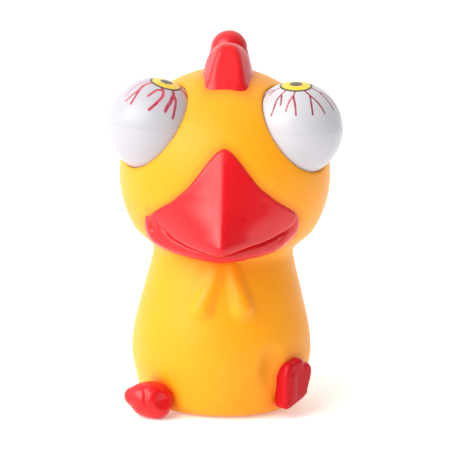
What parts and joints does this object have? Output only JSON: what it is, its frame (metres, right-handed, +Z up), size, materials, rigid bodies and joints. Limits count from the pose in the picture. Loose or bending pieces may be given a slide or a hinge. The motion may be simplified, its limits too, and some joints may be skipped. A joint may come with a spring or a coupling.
{
  "type": "squeeze toy chicken",
  "caption": "Hollow soft vinyl chicken that sits upright on a flat base. When its body is squeezed, its loose eyeballs pop out of their sockets and a squeaker in the base sounds.",
  "frame": {"origin": "centre of the flat base, on the surface it stands on", "axes": "+Z up, the chicken faces -Y, +X is to the right of someone facing it; left and right in names are as that person sees them"},
  "size_m": [0.06, 0.0636, 0.0974],
  "materials": {
    "yellow_vinyl": "satin",
    "red_vinyl": "semi-gloss",
    "eye_plastic": "gloss",
    "tether_elastomer": "satin",
    "plug_plastic": "matt",
    "seat_plastic": "matt",
    "reed_metal": "satin"
  },
  "bodies": {
    "chicken": {"body_shell": "yellow_vinyl", "comb": "red_vinyl", "upper_beak": "red_vinyl", "lower_beak": "red_vinyl", "left_foot": "red_vinyl", "right_foot": "red_vinyl", "squeaker_plug": "plug_plastic", "squeaker_reed_seat": "seat_plastic", "squeaker_reed": "reed_metal"},
    "left_eye_link": {"left_eye_tether": "tether_elastomer"},
    "left_eyeball": {"left_eye_front": "eye_plastic", "left_eye_rear": "eye_plastic"},
    "right_eye_link": {"right_eye_tether": "tether_elastomer"},
    "right_eyeball": {"right_eye_front": "eye_plastic", "right_eye_rear": "eye_plastic"}
  },
  "joints": [
    {"name": "left_eye_pop", "type": "slide", "parent": "chicken", "child": "left_eye_link", "axis": [-0.7341, -0.4153, 0.5373], "range_m": [0, 0.009], "stiffness_N_per_m": 120, "deforming": ["left_eye_tether"]},
    {"name": "left_eye_roll", "type": "hinge", "parent": "left_eye_link", "child": "left_eyeball", "pos_m": [-0.01798, -0.01018, 0.07406], "axis": [1, 0, 0], "range_deg": [-15, 60]},
    {"name": "right_eye_pop", "type": "slide", "parent": "chicken", "child": "right_eye_link", "axis": [0.7341, -0.4153, 0.5373], "range_m": [0, 0.009], "stiffness_N_per_m": 120, "deforming": ["right_eye_tether"]},
    {"name": "right_eye_roll", "type": "hinge", "parent": "right_eye_link", "child": "right_eyeball", "pos_m": [0.01798, -0.01018, 0.07406], "axis": [1, 0, 0], "range_deg": [-35, 85]}
  ],
  "couplings": [
    {"joint": "right_eye_pop", "follows": "left_eye_pop", "ratio": 1}
  ]
}
